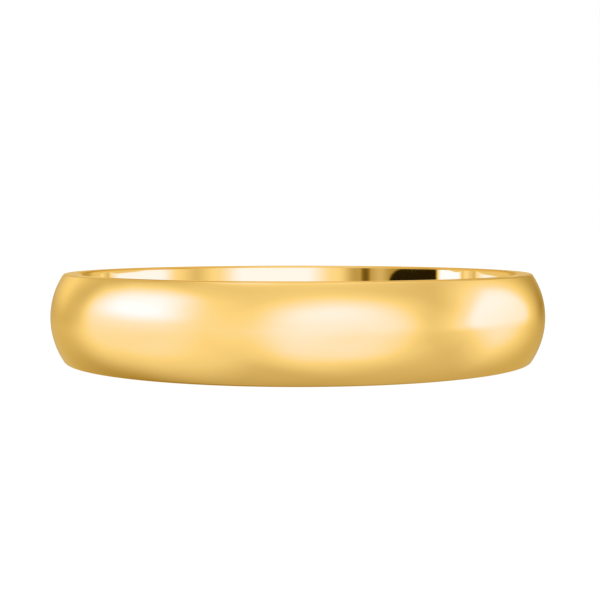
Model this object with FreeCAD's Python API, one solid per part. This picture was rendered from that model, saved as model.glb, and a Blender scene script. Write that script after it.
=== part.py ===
"""Plain half-round wedding band: one seamless piece of yellow gold, domed outside and straight inside.

Millimetres. The origin is the middle of the finger hole, and +Z runs along the hole, so the band
lies flat on one of its two sides, as it does on a tray.
"""

import FreeCAD, Part
import math
import os
from FreeCAD import Vector

# Driving dimensions
FINGER_SIZE = 64.0  # inside circumference, which is the size number in ISO 8653
BAND_WIDTH = 4.0  # across the band, measured along the finger
CROWN_THICKNESS = 1.25  # wall at the top of the dome, halfway across the band
SIDE_THICKNESS = 0.63  # wall where the dome's curve would meet the flat side
OUTER_EASE = 0.14  # radius of the soft edge between the dome and a side
INNER_EASE = 0.10  # radius of the soft edge between the bore and a side

# The same sizes measured from the finger's axis and from the middle of the band
BORE_RADIUS = FINGER_SIZE / (2 * math.pi)
CROWN_RADIUS = BORE_RADIUS + CROWN_THICKNESS
SIDE_RADIUS = BORE_RADIUS + SIDE_THICKNESS
SIDE_HEIGHT = BAND_WIDTH / 2

CENTRE = Vector(0, 0, 0)
FINGER_AXIS = Vector(0, 0, 1)
FULL_TURN = 360


def dome_circle():
    """Radius of the arc across the dome, and how far its centre is from the finger's axis. The arc runs
    through the crown and through the two places where the sides would meet it."""
    rise = CROWN_RADIUS - SIDE_RADIUS
    radius = (rise**2 + SIDE_HEIGHT**2) / (2 * rise)
    return radius, CROWN_RADIUS - radius


def outer_ease():
    """The soft outer edge of the upper side: the end of the dome, a point halfway and the side's rim."""
    radius, centre_x = dome_circle()
    height = SIDE_HEIGHT - OUTER_EASE
    inset = radius - OUTER_EASE
    ease_x = centre_x + math.sqrt(inset**2 - height**2)
    lean = math.atan2(height, ease_x - centre_x)
    halfway = (lean + math.pi / 2) / 2
    return [
        Vector(ease_x + OUTER_EASE * math.cos(turn), 0, height + OUTER_EASE * math.sin(turn))
        for turn in (lean, halfway, math.pi / 2)
    ]


def inner_ease():
    """The soft inner edge of the upper side: the side's rim, a point halfway and the end of the bore."""
    ease_x = BORE_RADIUS + INNER_EASE
    height = SIDE_HEIGHT - INNER_EASE
    return [
        Vector(ease_x + INNER_EASE * math.cos(turn), 0, height + INNER_EASE * math.sin(turn))
        for turn in (math.pi / 2, math.pi * 3 / 4, math.pi)
    ]


def lower(points):
    """The same points on the lower side, in the order that carries on round the section."""
    return [Vector(point.x, 0, -point.z) for point in reversed(points)]


def band_section():
    """The D-shaped face that shows where the band is cut through: straight bore, two flat sides, one arc
    for the dome and four soft edges, each of which runs smoothly into its neighbours."""
    outer = outer_ease()
    inner = inner_ease()
    outer_low = lower(outer)
    inner_low = lower(inner)
    crown = Vector(CROWN_RADIUS, 0, 0)
    outline = [
        Part.Arc(outer_low[2], crown, outer[0]),
        Part.Arc(*outer),
        Part.LineSegment(outer[2], inner[0]),
        Part.Arc(*inner),
        Part.LineSegment(inner[2], inner_low[0]),
        Part.Arc(*inner_low),
        Part.LineSegment(inner_low[2], outer_low[0]),
        Part.Arc(*outer_low),
    ]
    return Part.Face(Part.Wire([piece.toShape() for piece in outline]))


def band():
    """The whole ring: its section turned once round the finger's axis, with no seam and no joint."""
    return band_section().revolve(CENTRE, FINGER_AXIS, FULL_TURN)


def main():
    os.makedirs("parts", exist_ok=True)
    band().exportStep("parts/band.step")


main()
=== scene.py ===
"""A plain half-round wedding band in polished yellow gold, lying on a white table under soft light."""

import math

import bmesh
import bpy
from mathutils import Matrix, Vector


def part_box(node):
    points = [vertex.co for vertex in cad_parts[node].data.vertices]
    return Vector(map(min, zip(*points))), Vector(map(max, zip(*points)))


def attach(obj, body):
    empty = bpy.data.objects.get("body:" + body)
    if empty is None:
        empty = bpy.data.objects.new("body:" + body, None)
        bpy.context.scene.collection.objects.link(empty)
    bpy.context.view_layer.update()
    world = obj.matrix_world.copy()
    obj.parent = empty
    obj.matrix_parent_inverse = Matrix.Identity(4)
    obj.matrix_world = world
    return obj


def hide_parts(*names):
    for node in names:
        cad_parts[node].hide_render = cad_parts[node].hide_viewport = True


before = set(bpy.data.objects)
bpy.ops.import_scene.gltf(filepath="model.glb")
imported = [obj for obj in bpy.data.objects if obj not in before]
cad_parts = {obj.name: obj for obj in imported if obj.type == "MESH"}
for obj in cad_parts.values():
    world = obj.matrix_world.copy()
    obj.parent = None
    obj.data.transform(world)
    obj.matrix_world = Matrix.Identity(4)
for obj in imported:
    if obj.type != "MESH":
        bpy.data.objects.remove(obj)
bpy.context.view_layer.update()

# ---------------------------------------------------------------- the band
# The whole ring: one seamless piece of yellow gold, turned from solid, with a domed outside, a
# straight bore, two flat sides and a soft edge wherever two of those meet. Nothing is fixed to it.

MM = 0.001
TURN_STEPS = 400
DOME_STEPS = 32
EASE_STEPS = 16
SIDE_STEPS = 6
BORE_STEPS = 12
OUTER_EASE = 0.14 * MM
HOLD = 0.008 * MM
WELD = 0.0001 * MM

band_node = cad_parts["band"]
band_low, band_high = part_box("band")
side_height = band_high[2]
crown_radius = band_high[0]
side_radii = [
    math.hypot(vertex.co.x, vertex.co.y)
    for vertex in band_node.data.vertices
    if vertex.co.z > side_height - WELD
]
bore_radius = min(math.hypot(vertex.co.x, vertex.co.y) for vertex in band_node.data.vertices)
inner_ease = min(side_radii) - bore_radius
ease_height = side_height - OUTER_EASE
drop = crown_radius - max(side_radii)
dome_radius = (drop**2 + ease_height**2 - OUTER_EASE**2) / (2 * (drop - OUTER_EASE))
dome_centre = crown_radius - dome_radius
dome_lean = math.atan2(ease_height, max(side_radii) - dome_centre)

ROUND_THE_SECTION = Vector((0, -1, 0))
ROUND_THE_FINGER = Vector((0, 0, 1))


def arc(mesh, end, centre_radius, centre_height, turn, steps):
    """Carries the outline on from its end, round a centre. Gives the new end."""
    swept = bmesh.ops.spin(
        mesh,
        geom=[end],
        cent=(centre_radius, 0, centre_height),
        axis=ROUND_THE_SECTION,
        angle=turn,
        steps=steps,
    )
    return next(item for item in swept["geom_last"] if isinstance(item, bmesh.types.BMVert))


def straight(mesh, end, travel, steps):
    """Carries the outline straight on from its end, with a very short step first and last, so that a
    soft edge's shading stops where the edge does. Gives the new end."""
    travel = Vector(travel)
    hold = travel.normalized() * HOLD
    for part, count in ((hold, 1), (travel - 2 * hold, steps), (hold, 1)):
        swept = bmesh.ops.spin(
            mesh,
            geom=[end],
            cent=(0, 0, 0),
            axis=ROUND_THE_SECTION,
            dvec=part / count,
            angle=0,
            steps=count,
        )
        end = next(item for item in swept["geom_last"] if isinstance(item, bmesh.types.BMVert))
    return end


band_mesh = bmesh.new()
end = band_mesh.verts.new((crown_radius, 0, 0))
end = arc(band_mesh, end, dome_centre, 0, dome_lean, DOME_STEPS)
end = arc(band_mesh, end, max(side_radii), ease_height, math.pi / 2 - dome_lean, EASE_STEPS)
end = straight(band_mesh, end, (min(side_radii) - max(side_radii), 0, 0), SIDE_STEPS)
end = arc(band_mesh, end, min(side_radii), side_height - inner_ease, math.pi / 2, EASE_STEPS)
end = straight(band_mesh, end, (0, 0, inner_ease - side_height), BORE_STEPS)
bmesh.ops.mirror(
    band_mesh, geom=band_mesh.verts[:] + band_mesh.edges[:], axis="Z", merge_dist=WELD
)
bmesh.ops.spin(
    band_mesh,
    geom=band_mesh.verts[:] + band_mesh.edges[:],
    cent=(0, 0, 0),
    axis=ROUND_THE_FINGER,
    angle=2 * math.pi,
    steps=TURN_STEPS,
    use_merge=True,
)
bmesh.ops.remove_doubles(band_mesh, verts=band_mesh.verts, dist=WELD)
bmesh.ops.recalc_face_normals(band_mesh, faces=band_mesh.faces)
for face in band_mesh.faces:
    face.smooth = True

band = bpy.data.objects.new("gold_band", bpy.data.meshes.new("gold_band"))
band_mesh.to_mesh(band.data)
band_mesh.free()
bpy.context.scene.collection.objects.link(band)


class Link:
    """The output of a shader node. Sums written with it become Math nodes."""

    def __init__(self, tree, socket=None):
        self.tree = tree
        self.socket = socket

    def node(self, kind, settings=None, values=None, output=None):
        """Adds a node, sets it up, joins up its sockets and gives one of its outputs."""
        made = self.tree.nodes.new(kind)
        for name, setting in (settings or {}).items():
            if name == "stops":
                while len(made.color_ramp.elements) < len(setting):
                    made.color_ramp.elements.new(1)
                for stop, (place, colour) in zip(made.color_ramp.elements, setting):
                    stop.position = place
                    stop.color = (*colour, 1)
            else:
                setattr(made, name, setting)
        for name, value in (values or {}).items():
            shown = [s for i, s in enumerate(made.inputs) if s.enabled and name in (s.name, i)]
            if isinstance(value, Link):
                self.tree.links.new(value.socket, shown[0])
            else:
                shown[0].default_value = value
        shown = [s for s in made.outputs if s.enabled and output in (None, s.name)]
        return Link(self.tree, shown[0] if shown else None)

    def math(self, operation, *values):
        return self.node("ShaderNodeMath", {"operation": operation}, dict(enumerate(values)))

    def __add__(self, other):
        return self.math("ADD", self, other)

    __radd__ = __add__

    def __sub__(self, other):
        return self.math("SUBTRACT", self, other)

    def __rsub__(self, other):
        return self.math("SUBTRACT", other, self)

    def __mul__(self, other):
        return self.math("MULTIPLY", self, other)

    __rmul__ = __mul__

    def __truediv__(self, other):
        return self.math("DIVIDE", self, other)

    def __rtruediv__(self, other):
        return self.math("DIVIDE", other, self)

    def __pow__(self, other):
        return self.math("POWER", self, other)

    def __abs__(self):
        return self.math("ABSOLUTE", self)

    def fade(self, none, full):
        """0 where this is at or past none, 1 where it is at or past full, and smooth between."""
        if none < full:
            limits = {"From Min": none, "From Max": full, "To Min": 0.0, "To Max": 1.0}
        else:
            limits = {"From Min": full, "From Max": none, "To Min": 1.0, "To Max": 0.0}
        smooth = {"interpolation_type": "SMOOTHSTEP"}
        return self.node("ShaderNodeMapRange", smooth, {"Value": self, **limits})


def nodes_of(owner):
    """Empties a material's or a world's node tree, ready for its own nodes."""
    owner.use_nodes = True
    owner.node_tree.nodes.clear()
    return Link(owner.node_tree)


GOLD_PALE = (0.99, 0.73, 0.30)
GOLD_DEEP = (0.97, 0.71, 0.28)
GOLD_EDGE = (0.965, 0.86, 0.57)
GOLD_ROUGHNESS = 0.07
RELIEF_DEPTH = 0.00006 * MM
SCRATCH_RIM = 0.012
SCRATCH_CORE = 0.004


def polished_gold():
    """Buffed 14-carat yellow gold: a bright mirror with very fine lines round the band, a few
    hairline marks, a slightly smoother bore and soft wear on the edges. Worked out in millimetres."""
    material = bpy.data.materials.new("polished_gold")
    tree = nodes_of(material)
    place = tree.node("ShaderNodeTexCoord", output="Object")
    place = tree.node(
        "ShaderNodeVectorMath", {"operation": "SCALE"}, {"Vector": place, "Scale": 1 / MM}
    )
    x = tree.node("ShaderNodeSeparateXYZ", None, {"Vector": place}, "X")
    y = tree.node("ShaderNodeSeparateXYZ", None, {"Vector": place}, "Y")
    z = tree.node("ShaderNodeSeparateXYZ", None, {"Vector": place}, "Z")
    radius = (x * x + y * y) ** 0.5

    def lines(fineness, stretch):
        """Fine lines that run round the band, fineness of them to a millimetre."""
        flat = tree.node(
            "ShaderNodeCombineXYZ",
            None,
            {"X": x * stretch, "Y": y * stretch, "Z": z * fineness},
        )
        return tree.node(
            "ShaderNodeTexNoise",
            {"noise_dimensions": "4D"},
            {"Vector": flat, "W": radius * fineness, "Scale": 1.0, "Detail": 2.0},
        )

    bore_wall = bore_radius / MM
    flat_side = side_height / MM
    in_bore = radius.fade(bore_wall + 0.12, bore_wall + 0.04)
    near_edge = abs(z).fade(flat_side - 0.22, flat_side - 0.02)

    around = tree.math("ARCTAN2", x, 0 - y) * (crown_radius / MM)
    across = z + radius

    def hairlines(slope, length, gap):
        """1 on scratches about 0.02 mm wide and 0 off them, each about length long, gap apart."""
        flat = tree.node(
            "ShaderNodeCombineXYZ",
            None,
            {"X": (around + across * slope) / length, "Y": (across - around * slope) / gap},
        )
        edges = tree.node(
            "ShaderNodeTexVoronoi",
            {"feature": "DISTANCE_TO_EDGE", "voronoi_dimensions": "2D"},
            {"Vector": flat, "Scale": 1.0},
            "Distance",
        )
        patch = tree.node(
            "ShaderNodeTexNoise", None, {"Vector": place, "Scale": 1.0 / gap, "Detail": 1.0}
        )
        return edges.fade(SCRATCH_RIM / gap, SCRATCH_CORE / gap) * patch.fade(0.50, 0.62)

    buffing = lines(fineness=9.0, stretch=0.35)
    turning = lines(fineness=5.0, stretch=0.12)
    long_scratches = hairlines(slope=0.12, length=3.1, gap=0.7)
    short_scratches = hairlines(slope=-0.35, length=2.3, gap=0.9)
    scratches = long_scratches + short_scratches
    scratches = scratches * (1 - 0.8 * in_bore)
    haze = tree.node(
        "ShaderNodeTexNoise", None, {"Vector": place, "Scale": 0.35, "Detail": 3.0}
    )
    roughness = (
        GOLD_ROUGHNESS
        + 0.03 * (buffing - 0.5)
        + 0.03 * (haze - 0.5)
        - in_bore * 0.04
        + near_edge * 0.02
        + scratches * 0.06
    )
    colour = tree.node(
        "ShaderNodeMix",
        {"data_type": "RGBA"},
        {"Factor": haze, "A": (*GOLD_DEEP, 1), "B": (*GOLD_PALE, 1)},
    )
    relief = tree.node(
        "ShaderNodeBump",
        None,
        {
            "Height": buffing + in_bore * turning - scratches * 3,
            "Strength": 1.0,
            "Distance": RELIEF_DEPTH,
        },
    )
    surface = tree.node(
        "ShaderNodeBsdfPrincipled",
        None,
        {
            "Base Color": colour,
            "Metallic": 1.0,
            "Roughness": roughness,
            "Specular Tint": (*GOLD_EDGE, 1),
            "Normal": relief,
        },
    )
    tree.node("ShaderNodeOutputMaterial", None, {"Surface": surface})
    return material


band.data.materials.append(polished_gold())
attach(band, "root")
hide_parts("band")

# --------------------------------------------------------------- the table
# A light table: a sheet of white acrylic lit from below, so that the band throws next to no shadow
# and the tabletop runs on into the white background. It isn't part of the band.

TABLE_HALF_SIDE = 3.0
TABLE_WHITE = (0.10, 0.10, 0.10)
TABLE_GLOW = 0.95
TABLE_GRAIN = 900.0

table_mesh = bmesh.new()
bmesh.ops.create_grid(table_mesh, x_segments=1, y_segments=1, size=TABLE_HALF_SIDE)
bmesh.ops.translate(table_mesh, verts=table_mesh.verts, vec=(0, 0, band_low[2]))
table = bpy.data.objects.new("table", bpy.data.meshes.new("table"))
table_mesh.to_mesh(table.data)
table_mesh.free()
bpy.context.scene.collection.objects.link(table)


def lit_acrylic():
    """White acrylic with the lamp's even glow coming through and a very faint grain."""
    material = bpy.data.materials.new("lit_acrylic")
    tree = nodes_of(material)
    place = tree.node("ShaderNodeTexCoord", output="Object")
    grain = tree.node(
        "ShaderNodeTexNoise", None, {"Vector": place, "Scale": TABLE_GRAIN, "Detail": 2.0}
    )
    surface = tree.node(
        "ShaderNodeBsdfPrincipled",
        None,
        {
            "Base Color": (*TABLE_WHITE, 1),
            "Roughness": 0.85 + 0.1 * grain,
            "Specular IOR Level": 0.0,
            "Emission Color": (1, 1, 1, 1),
            "Emission Strength": TABLE_GLOW,
        },
    )
    tree.node("ShaderNodeOutputMaterial", None, {"Surface": surface})
    return material


table.data.materials.append(lit_acrylic())
table.visible_glossy = False

# ----------------------------------------------------------- the reflector
# A tall tube of card stood just inside the bore, in place of what a real bore mirrors of itself. Its
# glow is painted reflection: gold above, and below it white and gold with thin dark gaps and a black
# strip of painted dark reflection. Only reflections see it, and it isn't part of the band.

GLOW_BLACK = (0.0, 0.0, 0.0)
GLOW_AMBER = (0.363, 0.256, 0.052)
GLOW_WARM = (1.01, 0.914, 0.70)
GLOW_BLUE_WHITE = (1.05, 1.39, 3.3)
# The next colour tints the card's painted reflection of the band's own gold, and the warm panel behind
# the band in the studio.
GOLD_REFLECTION_TINT = (1.0, 0.82, 0.45)


def glow(tone):
    """The colour of a light or card: black at -1, amber at 0, warm white at 1, and at 2 a strong
    blue-white, much bluer than daylight, that yellow gold gives back as near white."""
    stops = [(0, GLOW_BLACK), (1 / 3, GLOW_AMBER), (2 / 3, GLOW_WARM), (1, GLOW_BLUE_WHITE)]
    return tone.node("ShaderNodeValToRGB", {"stops": stops}, {"Fac": (tone + 1) / 3})


REFLECTOR_GAP = 0.04 * MM
REFLECTOR_STEPS = 180
REFLECTOR_TOP = 36 * MM

reflector_radius = bore_radius - REFLECTOR_GAP
reflector_foot = inner_ease - side_height
reflector_mesh = bmesh.new()
end = reflector_mesh.verts.new((reflector_radius, 0, reflector_foot))
straight(reflector_mesh, end, (0, 0, REFLECTOR_TOP - reflector_foot), 1)
bmesh.ops.spin(
    reflector_mesh,
    geom=reflector_mesh.verts[:] + reflector_mesh.edges[:],
    cent=(0, 0, 0),
    axis=ROUND_THE_FINGER,
    angle=2 * math.pi,
    steps=REFLECTOR_STEPS,
    use_merge=True,
)
bmesh.ops.remove_doubles(reflector_mesh, verts=reflector_mesh.verts, dist=WELD)
for face in reflector_mesh.faces:
    if face.normal.dot(face.calc_center_median()) > 0:
        face.normal_flip()
    face.smooth = True
reflector = bpy.data.objects.new("reflector", bpy.data.meshes.new("reflector"))
reflector_mesh.to_mesh(reflector.data)
reflector_mesh.free()
bpy.context.scene.collection.objects.link(reflector)


def reflector_card():
    """Glowing card on its inner side, whose glow is the painted reflection the bore shows, and clear
    from its outer side.
    """
    material = bpy.data.materials.new("reflector_card")
    tree = nodes_of(material)
    place = tree.node("ShaderNodeTexCoord", output="Object")
    x = tree.node("ShaderNodeSeparateXYZ", None, {"Vector": place}, "X")
    y = tree.node("ShaderNodeSeparateXYZ", None, {"Vector": place}, "Y")
    height = tree.node("ShaderNodeSeparateXYZ", None, {"Vector": place}, "Z") / MM
    bearing = tree.math("ARCTAN2", x, 0 - y) * (180 / math.pi)

    def strip(middle, half_width, soft):
        """1 on an upright strip of the card and 0 off it. Degrees round from the front."""
        away = abs(bearing - middle)
        away = tree.math("MINIMUM", away, 360 - away)
        return away.fade(half_width + soft, half_width - soft)

    # The card's tones by bearing: painted reflections, white and gold with painted shade and dark gaps,
    # that the bore shows.
    right_surround = strip(146, 47, 12)
    right_white = strip(148.5, 32.5, 9)
    front_surround = strip(20, 60, 10)
    front_white = strip(20, 38, 12)
    left_shade = strip(-55, 12.5, 7)
    left_gap = strip(-58, 3, 2.2)
    far_left_shade = strip(-87, 12, 7)
    back_white = strip(-140.5, 12.3, 3)
    back_gold = strip(-159.5, 3.5, 2)
    back_gap = strip(-170, 2, 2.5)
    lower_tone = (
        0.60
        + 0.45 * right_surround
        + 0.75 * right_white
        + 0.45 * front_surround
        + 0.75 * front_white
        - 0.35 * left_shade
        - 0.80 * left_gap
        - 0.45 * far_left_shade
        + 1.40 * back_white
        + 0.40 * back_gold
        - 0.40 * back_gap
    )

    # A black patch on the card: painted dark reflection that the bore shows as its black strip.
    flag_start = 103
    flag_length = 24
    flag_half_height = 1.45
    flag_square = 2.7
    along = tree.math("MAXIMUM", bearing + flag_start, 0.0) / flag_length
    up = abs(height) / flag_half_height
    flag = ((along**flag_square + up**flag_square) ** (1 / flag_square)).fade(1.06, 0.94)
    flag = flag * bearing.fade(-127, -124)
    lower_tone = lower_tone * (1 - flag) - 0.95 * flag

    right_dip = strip(163, 18, 8)
    back_rise = strip(-166, 12, 6)
    left_dip = strip(-148, 6, 5)
    top_edge = 1.42 - 0.06 * right_dip + 0.08 * back_rise - 0.10 * left_dip
    upper = (height - top_edge).fade(-0.04, 0.04)
    upper_front = strip(10, 35, 15)
    upper_left_shade = strip(-124, 14, 8)
    upper_right_shade = strip(112, 14, 8)
    upper_tone = 0.75 + 0.20 * upper_front - 0.45 * upper_left_shade - 0.30 * upper_right_shade
    tone = lower_tone * (1 - upper) + upper_tone * upper

    # Above the band at the back the card glows gold: a painted reflection of the band's own gold.
    painted_gold_reflection = height.fade(1.9, 2.1) * strip(180, 100, 10)
    tint = tree.node(
        "ShaderNodeMix",
        {"data_type": "RGBA"},
        {"Factor": painted_gold_reflection, "A": (1, 1, 1, 1), "B": (*GOLD_REFLECTION_TINT, 1)},
    )
    colour = tree.node("ShaderNodeVectorMath", {"operation": "MULTIPLY"}, {0: glow(tone), 1: tint})
    card = tree.node("ShaderNodeEmission", None, {"Color": colour, "Strength": 1.0})
    clear = tree.node("ShaderNodeBsdfTransparent")
    behind = tree.node("ShaderNodeNewGeometry", output="Backfacing")
    surface = tree.node("ShaderNodeMixShader", None, {0: behind, 1: card, 2: clear})
    tree.node("ShaderNodeOutputMaterial", None, {"Surface": surface})
    return material


reflector.data.materials.append(reflector_card())
reflector.visible_camera = False
reflector.visible_diffuse = False
reflector.visible_transmission = False
reflector.visible_shadow = False

# -------------------------------------------------------------- the studio
# Big soft boxes to the left, the front and the right of the table, each with its scrim, and dark
# cards between them. They are far away, so they are drawn on the world by bearing and height. Only
# reflections see them, and everything else sees an even white room.


def studio():
    """Bearings are degrees round from the camera's side, + to the right, and heights are degrees up."""
    world = bpy.data.worlds.new("studio")
    tree = nodes_of(world)
    direction = tree.node("ShaderNodeTexCoord", output="Generated")
    x = tree.node("ShaderNodeSeparateXYZ", None, {"Vector": direction}, "X")
    y = tree.node("ShaderNodeSeparateXYZ", None, {"Vector": direction}, "Y")
    z = tree.node("ShaderNodeSeparateXYZ", None, {"Vector": direction}, "Z")
    bearing = tree.math("ARCTAN2", x, 0 - y) * (180 / math.pi)
    height = tree.math("ARCSINE", z) * (180 / math.pi)

    def box(at, half_size, soft, square):
        """1 on a panel and 0 off it. Square is 2 for an oval and more for squarer corners."""
        across = abs(bearing - at[0])
        across = tree.math("MINIMUM", across, 360 - across) / half_size[0]
        up = abs(height - at[1]) / half_size[1]
        reach = (across**square + up**square) ** (1 / square)
        return reach.fade(1 + soft, 1 - soft)

    above = height.fade(-6.5, 1)
    below = 1 - above
    left_above = height.fade(-14, 14)

    left_box = box((-78, 24), (23, 14), 0.7, 3)
    left_scrim = box((-87, -5), (45, 23), 0.6, 4.5)
    left_mirrored = box((-79, -7), (43, 29), 0.5, 1.5)
    left_frame = box((-68, -5), (45, 50), 0.3, 2.5)
    front_box = box((18, 0), (30, 29), 0.5, 2)
    front_frame = box((20, -4), (45, 43), 0.4, 2)
    front_glow = box((1, 33), (57, 16), 0.9, 1.5)
    front_shade = box((34, -24), (30, 24), 0.4, 2)
    right_box = box((104, 4), (23.5, 23), 0.2, 1.5)
    right_mirrored = box((101, -3), (24, 22), 0.9, 1.5)
    right_frame = box((103, -12), (34, 48), 0.4, 2)
    far_left_box = box((-141, 12), (16, 12), 0.7, 6)
    far_left_flag = box((-122, 6), (11, 15), 0.7, 3)
    far_right_flag = box((164, -10), (64, 20), 1.0, 1.5)
    gap_flag = box((60, 0), (11, 13), 1.0, 1.5)
    low_left_flag = box((-117, -54), (29, 23), 1.0, 6)
    table_glow = box((15, -50), (79, 25), 0.6, 5)
    ceiling_box = box((-52, 66), (32, 8), 0.7, 2)
    ceiling_shade = box((-105, 56), (34, 12), 0.6, 2)
    left_cap = box((-96, 36), (16, 7), 0.7, 2)
    low_back_glow = box((-160, -8), (36, 12), 0.7, 2)
    low_right_flag = box((162, -2), (16, 9), 0.7, 2)
    right_wall = box((170, 38), (48, 30), 0.6, 2)
    room_above = 0.50 + 0.45 * height.fade(30, 75)
    ceiling = 0.12 * height.fade(56, 65) - 0.20 * height.fade(74, 84)
    room_below = 0.15 + 0.30 * height.fade(-75, -15)
    tone = (
        above * (room_above + 0.35 * right_box + 0.9 * right_frame - 0.4 * far_right_flag)
        + below * (room_below + 0.9 * right_mirrored)
        + left_above * (0.95 * left_box + 0.55 * left_scrim)
        + left_above * (0.45 * far_left_box - 0.45 * far_left_flag)
        + 0.33 * (1 - left_above) * left_mirrored
        + 0.35 * left_frame
        + 0.35 * front_box
        + 0.65 * front_frame
        + 0.35 * front_glow
        - 0.15 * front_shade
        - 0.15 * gap_flag
        - 0.3 * low_left_flag
        + 0.25 * table_glow
        + ceiling
        + 0.3 * ceiling_box
        - 0.25 * ceiling_shade
        - 0.22 * left_cap
        + 0.09 * low_back_glow
        - 0.16 * low_right_flag
        - 0.14 * right_wall
    )
    behind = box((180, -2), (20, 13), 0.8, 2)
    tone = tone * (1 - behind) + behind * (0.4 + 0.35 * height.fade(0.2, 1.4))
    warmth = tree.node(
        "ShaderNodeMix",
        {"data_type": "RGBA"},
        {"Factor": behind, "A": (1, 1, 1, 1), "B": (*GOLD_REFLECTION_TINT, 1)},
    )
    light = tree.node("ShaderNodeVectorMath", {"operation": "MULTIPLY"}, {0: glow(tone), 1: warmth})
    reflected = tree.node("ShaderNodeLightPath", output="Is Glossy Ray")
    panels = tree.node("ShaderNodeBackground", None, {"Color": light, "Strength": 1.0})
    white = tree.node("ShaderNodeBackground", None, {"Color": (1, 1, 1, 1), "Strength": 1.0})
    surface = tree.node("ShaderNodeMixShader", None, {0: reflected, 1: white, 2: panels})
    tree.node("ShaderNodeOutputWorld", None, {"Surface": surface})
    return world


bpy.context.scene.world = studio()
bpy.context.scene.view_settings.view_transform = "Standard"

# -------------------------------------------------------------- the camera
# A close-up lens just above the band's upper side, looking slightly down across the ring.

CAMERA_AWAY = 54.0 * MM
CAMERA_ABOVE = 3.857 * MM
CAMERA_ASIDE = 0.099 * MM
CAMERA_TILT = math.radians(3.364)
CAMERA_LENS = 68.75
CAMERA_SENSOR = 36.0
CAMERA_NEAREST = 1 * MM
CAMERA_FARTHEST = 10.0

lens = bpy.data.cameras.new("camera")
lens.lens = CAMERA_LENS
lens.sensor_width = CAMERA_SENSOR
lens.clip_start = CAMERA_NEAREST
lens.clip_end = CAMERA_FARTHEST
camera = bpy.data.objects.new("camera", lens)
camera.location = (CAMERA_ASIDE, -CAMERA_AWAY, CAMERA_ABOVE)
camera.rotation_euler = (math.pi / 2 - CAMERA_TILT, 0, 0)
bpy.context.scene.collection.objects.link(camera)
bpy.context.scene.camera = camera
